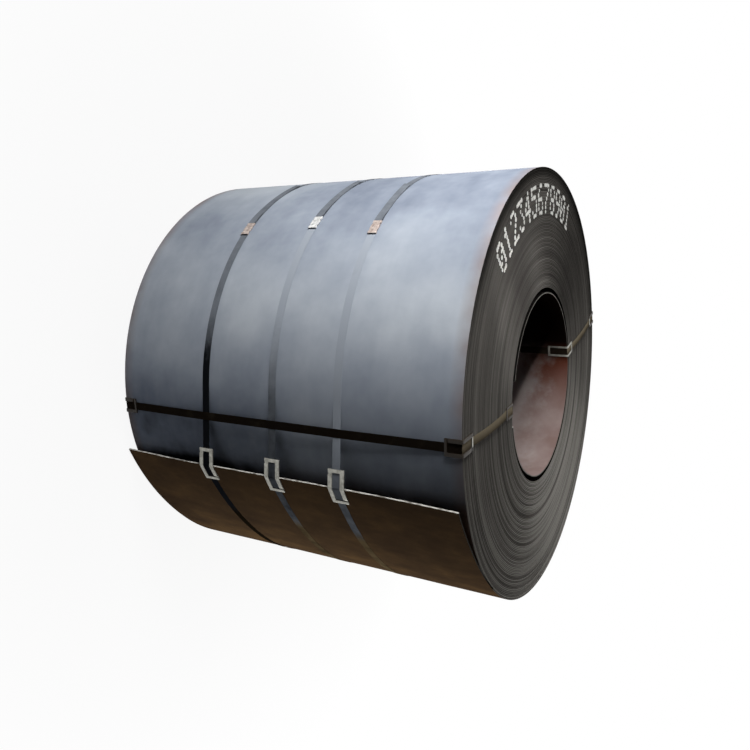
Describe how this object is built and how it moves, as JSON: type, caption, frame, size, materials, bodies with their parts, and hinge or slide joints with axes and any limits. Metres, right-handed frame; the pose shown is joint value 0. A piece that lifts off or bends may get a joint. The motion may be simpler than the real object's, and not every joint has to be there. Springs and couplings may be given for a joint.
{
  "type": "steel coil",
  "caption": "Hot-rolled steel coil with a sprung outer end, steel strapping around it and through its bore, seals and edge protectors, standing on its end.",
  "frame": {"origin": "middle of the bore, on its axis", "axes": "+Z along the bore towards the end that the picture shows, -Y the front with the tail, -X the side that is up in the picture"},
  "size_m": [1.7566, 1.7709, 1.5092],
  "materials": {
    "mill_scale_steel": "blue-grey mill scale",
    "blued_strap": "blued",
    "brown_strap": "dark, waxed",
    "seal_steel": "galvanised",
    "guard_steel": "bare sheet",
    "rim_guard_steel": "bare sheet, browned"
  },
  "bodies": {
    "root": {"coil": "mill_scale_steel", "hoop_strap_left": "blued_strap", "hoop_strap_middle": "blued_strap", "hoop_strap_right": "blued_strap", "hoop_seal_left": "seal_steel", "hoop_seal_middle": "seal_steel", "hoop_seal_right": "seal_steel", "tail_guard_left": "guard_steel", "tail_guard_middle": "guard_steel", "tail_guard_right": "guard_steel", "eye_strap_front": "brown_strap", "eye_strap_rear": "brown_strap", "eye_seal_front": "seal_steel", "eye_seal_rear": "seal_steel", "rim_guard_front_left": "rim_guard_steel", "rim_guard_front_right": "rim_guard_steel", "rim_guard_rear_left": "rim_guard_steel", "rim_guard_rear_right": "rim_guard_steel", "bore_guard_front_left": "guard_steel", "bore_guard_front_right": "guard_steel", "bore_guard_rear_left": "guard_steel", "bore_guard_rear_right": "guard_steel"}
  },
  "joints": []
}
